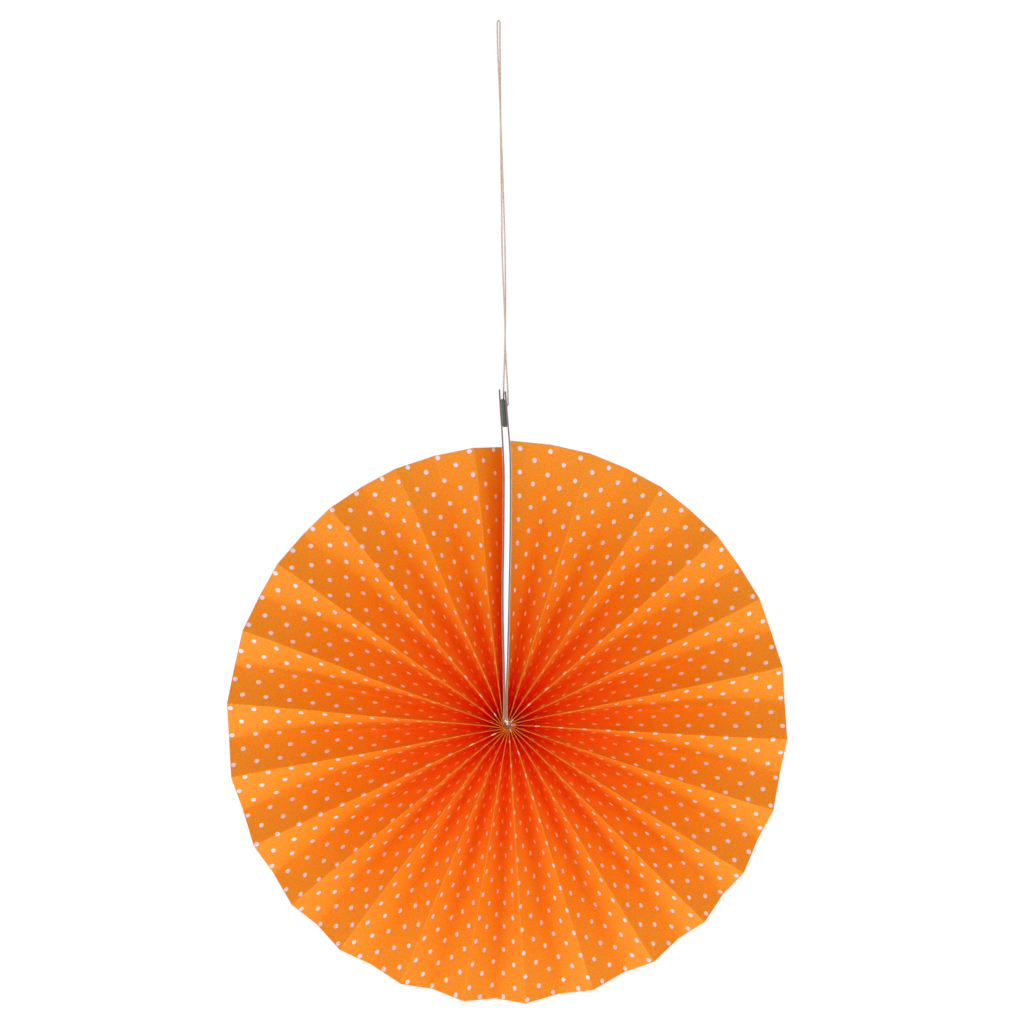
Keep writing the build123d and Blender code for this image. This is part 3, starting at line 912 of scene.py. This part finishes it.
# =============================================================================
# floor, light, surroundings
# =============================================================================
def build_floor():
    n = 96
    z = -2.5
    verts = [(0, 0, z)]
    radii = [1.2, 2.6, 4.0, 5.0]
    for r in radii:
        verts += [(r * math.cos(2 * math.pi * i / n), r * math.sin(2 * math.pi * i / n), z) for i in range(n)]
    faces = [(0, 1 + i, 1 + (i + 1) % n) for i in range(n)]
    for q in range(len(radii) - 1):
        for i in range(n):
            a, b = 1 + q * n + i, 1 + q * n + (i + 1) % n
            faces.append((a, a + n, b + n, b))
    obj = mesh_object("studio_floor", verts, faces, smooth=False)
    m = Nodes("studio_floor")
    col = m.mix(m.ramp(m.noise(m.object_coords(), 1.3, 2.0, 0.5), 0.3, 0.7), (0.90, 0.90, 0.895), (0.93, 0.93, 0.925))
    obj.data.materials.append(m.finish(Base_Color=col, Roughness=0.9))
    # the camera sees the floor evenly pale and fading into the white; for the light it is plain matt
    x, y = m.split(m.object_coords())[:2]
    away = m.math("SQRT", m.math("ADD", m.math("MULTIPLY", x, x), m.math("MULTIPLY", y, y)))
    seen = m.t.nodes.new("ShaderNodeEmission")
    seen.inputs["Color"].default_value = (1.0, 1.0, 1.0, 1.0)
    m.put(seen.inputs["Strength"], m.ramp(away, 1.0, 4.7, 0.78, 1.02))
    either = m.t.nodes.new("ShaderNodeMixShader")
    m.put(either.inputs[0], m.t.nodes.new("ShaderNodeLightPath").outputs["Is Camera Ray"])
    m.link(m.bsdf.outputs["BSDF"], either.inputs[1])
    m.link(seen.outputs[0], either.inputs[2])
    m.link(either.outputs[0], m.out.inputs["Surface"])
    return obj


floor = build_floor()


# the strengths and the colour of the lights are fitted to the photograph
COOL = (1.0, 0.995, 1.20)


def area_light(name, direction, distance, size, power, colour=COOL):
    """direction: degrees away from straight in front, and degrees round from the right-hand side"""
    data = bpy.data.lights.new(name, "AREA")
    data.shape = "RECTANGLE"
    data.size, data.size_y = size
    data.energy = power
    data.color = colour
    obj = bpy.data.objects.new(name, data)
    target = Vector(to_frame((0, 0, 0)))
    away, turn = (math.radians(a) for a in direction)
    way = Vector((math.sin(away) * math.cos(turn), -math.cos(away), math.sin(away) * math.sin(turn)))
    obj.location = target + way * distance
    obj.rotation_euler = (-way).to_track_quat("-Z", "Y").to_euler()
    obj.visible_camera = False
    scene.collection.objects.link(obj)
    return obj


for light in (
    ("low", (75, -90), 2.2, (1.5, 1.5), 66.0),
    ("low_left", (75, -135), 2.2, (1.5, 1.5), 14.5),
    ("low_right", (75, -30), 2.2, (1.5, 1.5), 5.6),
    ("front", (0, 0), 2.2, (1.5, 1.5), 11.0),
    ("front_left", (40, 180), 2.2, (1.5, 1.5), 9.6),
    ("front_right", (40, 0), 2.2, (1.5, 1.5), 10.6),
    ("behind", (180, 0), 2.2, (3.0, 3.0), 94.5),
):
    area_light(*light)

world = bpy.data.worlds.new("studio")
scene.world = world
world.use_nodes = True
wt = world.node_tree
wt.nodes.clear()
w_out = wt.nodes.new("ShaderNodeOutputWorld")
w_seen = wt.nodes.new("ShaderNodeBackground")
w_light = wt.nodes.new("ShaderNodeBackground")
w_mix = wt.nodes.new("ShaderNodeMixShader")
w_path = wt.nodes.new("ShaderNodeLightPath")
w_seen.inputs["Color"].default_value = (1.0, 1.0, 1.0, 1.0)
w_seen.inputs["Strength"].default_value = 1.02
w_light.inputs["Color"].default_value = (*COOL, 1.0)
w_light.inputs["Strength"].default_value = 0.150
wt.links.new(w_path.outputs["Is Camera Ray"], w_mix.inputs[0])
wt.links.new(w_light.outputs[0], w_mix.inputs[1])
wt.links.new(w_seen.outputs[0], w_mix.inputs[2])
wt.links.new(w_mix.outputs[0], w_out.inputs["Surface"])

scene.view_settings.view_transform = "Standard"
scene.view_settings.look = "None"
scene.view_settings.exposure = 0.0
scene.view_settings.gamma = 1.15
scene.cycles.max_bounces = 28
scene.cycles.diffuse_bounces = 28
scene.cycles.glossy_bounces = 4

# =============================================================================
# which piece stands for what
# =============================================================================
for piece in (paper, pad, knot, thread_ring, thread_tail, thread_knot, cord):
    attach(piece, "root")
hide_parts("pleated_paper")
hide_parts("closing_pad")
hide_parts("cord_knot")
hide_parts("hanging_cord")
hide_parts("binding_thread")
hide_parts("binding_thread")
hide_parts("binding_thread")
